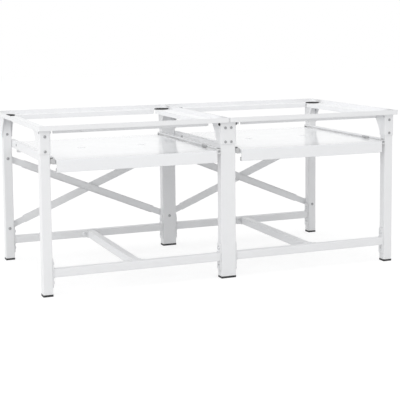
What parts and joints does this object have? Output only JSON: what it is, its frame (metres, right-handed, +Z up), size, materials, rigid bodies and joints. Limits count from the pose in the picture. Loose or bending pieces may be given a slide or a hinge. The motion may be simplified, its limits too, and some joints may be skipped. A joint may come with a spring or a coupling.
{
  "type": "washing machine pedestal",
  "caption": "Wide raised stand that carries laundry appliances side by side, with pull-out shelves, cross-braced back, folded top frame and plugged tube legs.",
  "frame": {"origin": "middle of the outline, on the floor", "axes": "+X to the right seen from the front, +Y to the back, +Z up; the shelves pull out to -Y"},
  "size_m": [1.22, 0.61, 0.513],
  "materials": {
    "white_coat": "satin",
    "gloss_white": "gloss",
    "grey_coat": "satin",
    "zinc": "satin",
    "black_plastic": "matte",
    "black_rubber": "matte"
  },
  "bodies": {
    "frame": {"leg_front_left": "white_coat", "foot_front_left": "black_plastic", "bracket_front_left": "white_coat", "leg_front_centre": "white_coat", "foot_front_centre": "black_plastic", "bracket_front_centre": "white_coat", "leg_front_right": "white_coat", "foot_front_right": "black_plastic", "bracket_front_right": "white_coat", "leg_rear_left": "white_coat", "foot_rear_left": "black_plastic", "bracket_rear_left": "white_coat", "leg_rear_centre": "white_coat", "foot_rear_centre": "black_plastic", "bracket_rear_centre": "white_coat", "leg_rear_right": "white_coat", "foot_rear_right": "black_plastic", "bracket_rear_right": "white_coat", "top_frame_left": "white_coat", "pad_left_front_outer": "black_rubber", "pad_left_front_inner": "black_rubber", "stretcher_front_left": "white_coat", "pad_left_rear_outer": "black_rubber", "pad_left_rear_inner": "black_rubber", "stretcher_rear_left": "white_coat", "cross_tube_left": "white_coat", "brace_left_falling": "grey_coat", "brace_left_rising": "grey_coat", "rail_left_bay_left": "white_coat", "rail_left_bay_right": "white_coat", "top_frame_right": "white_coat", "pad_right_front_outer": "black_rubber", "pad_right_front_inner": "black_rubber", "stretcher_front_right": "white_coat", "pad_right_rear_outer": "black_rubber", "pad_right_rear_inner": "black_rubber", "stretcher_rear_right": "white_coat", "cross_tube_right": "white_coat", "brace_right_falling": "grey_coat", "brace_right_rising": "grey_coat", "rail_right_bay_left": "white_coat", "rail_right_bay_right": "white_coat"},
    "shelf_left": {"shelf_left": "gloss_white", "rib_left": "white_coat", "runner_left_bay_left": "zinc", "runner_left_bay_right": "zinc", "lever_left_bay_left": "black_plastic", "lever_left_bay_right": "black_plastic"},
    "shelf_right": {"shelf_right": "gloss_white", "rib_right": "white_coat", "runner_right_bay_left": "zinc", "runner_right_bay_right": "zinc", "lever_right_bay_left": "black_plastic", "lever_right_bay_right": "black_plastic"}
  },
  "joints": [
    {"name": "shelf_left_slide", "type": "slide", "parent": "frame", "child": "shelf_left", "axis": [0, -1, 0], "range_m": [0, 0.35]},
    {"name": "shelf_right_slide", "type": "slide", "parent": "frame", "child": "shelf_right", "axis": [0, -1, 0], "range_m": [0, 0.35]}
  ]
}
